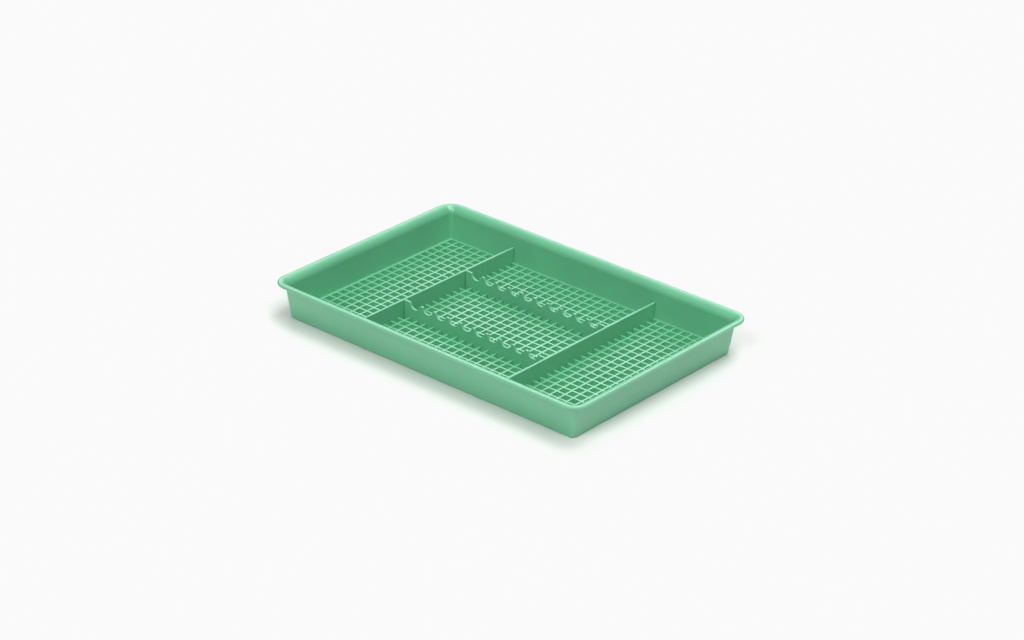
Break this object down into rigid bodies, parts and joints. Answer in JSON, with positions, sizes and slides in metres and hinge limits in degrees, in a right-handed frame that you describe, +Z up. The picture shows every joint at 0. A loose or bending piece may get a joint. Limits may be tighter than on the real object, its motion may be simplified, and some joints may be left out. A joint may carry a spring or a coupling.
{
  "type": "divided instrument tray",
  "caption": "Shallow rectangular tray with a rolled rim, a waffle-grid floor in lift-out mats, cross dividers and lengthwise rails with round notches.",
  "frame": {"origin": "centre of the underside, on the surface the tray stands on", "axes": "+X along the long side, +Y along the short side, +Z up; the smaller end compartment is at -X"},
  "size_m": [0.2434, 0.1666, 0.0248],
  "materials": {
    "pan_plastic": "satin moulded polypropylene, green",
    "mat_plastic": "satin moulded polypropylene, green",
    "divider_plastic": "satin moulded polypropylene, green"
  },
  "bodies": {
    "pan": {"tray_pan": "pan_plastic"},
    "waffle_mat_left": {"waffle_mat_left": "mat_plastic"},
    "waffle_mat_right": {"waffle_mat_right": "mat_plastic"},
    "waffle_mat_front": {"waffle_mat_front": "mat_plastic"},
    "waffle_mat_middle": {"waffle_mat_middle": "mat_plastic"},
    "waffle_mat_rear": {"waffle_mat_rear": "mat_plastic"},
    "cross_divider_left": {"cross_divider_left": "divider_plastic"},
    "cross_divider_right": {"cross_divider_right": "divider_plastic"},
    "notched_rail_front": {"notched_rail_front": "divider_plastic"},
    "notched_rail_rear": {"notched_rail_rear": "divider_plastic"}
  },
  "joints": [
    {"name": "lift_waffle_mat_left", "type": "slide", "parent": "pan", "child": "waffle_mat_left", "axis": [0, 0, 1], "range_m": [0, 0.03]},
    {"name": "lift_waffle_mat_right", "type": "slide", "parent": "pan", "child": "waffle_mat_right", "axis": [0, 0, 1], "range_m": [0, 0.03]},
    {"name": "lift_waffle_mat_front", "type": "slide", "parent": "pan", "child": "waffle_mat_front", "axis": [0, 0, 1], "range_m": [0, 0.03]},
    {"name": "lift_waffle_mat_middle", "type": "slide", "parent": "pan", "child": "waffle_mat_middle", "axis": [0, 0, 1], "range_m": [0, 0.03]},
    {"name": "lift_waffle_mat_rear", "type": "slide", "parent": "pan", "child": "waffle_mat_rear", "axis": [0, 0, 1], "range_m": [0, 0.03]},
    {"name": "lift_cross_divider_left", "type": "slide", "parent": "pan", "child": "cross_divider_left", "axis": [0, 0, 1], "range_m": [0, 0.03]},
    {"name": "lift_cross_divider_right", "type": "slide", "parent": "pan", "child": "cross_divider_right", "axis": [0, 0, 1], "range_m": [0, 0.03]},
    {"name": "lift_notched_rail_front", "type": "slide", "parent": "pan", "child": "notched_rail_front", "axis": [0, 0, 1], "range_m": [0, 0.03]},
    {"name": "lift_notched_rail_rear", "type": "slide", "parent": "pan", "child": "notched_rail_rear", "axis": [0, 0, 1], "range_m": [0, 0.03]}
  ]
}
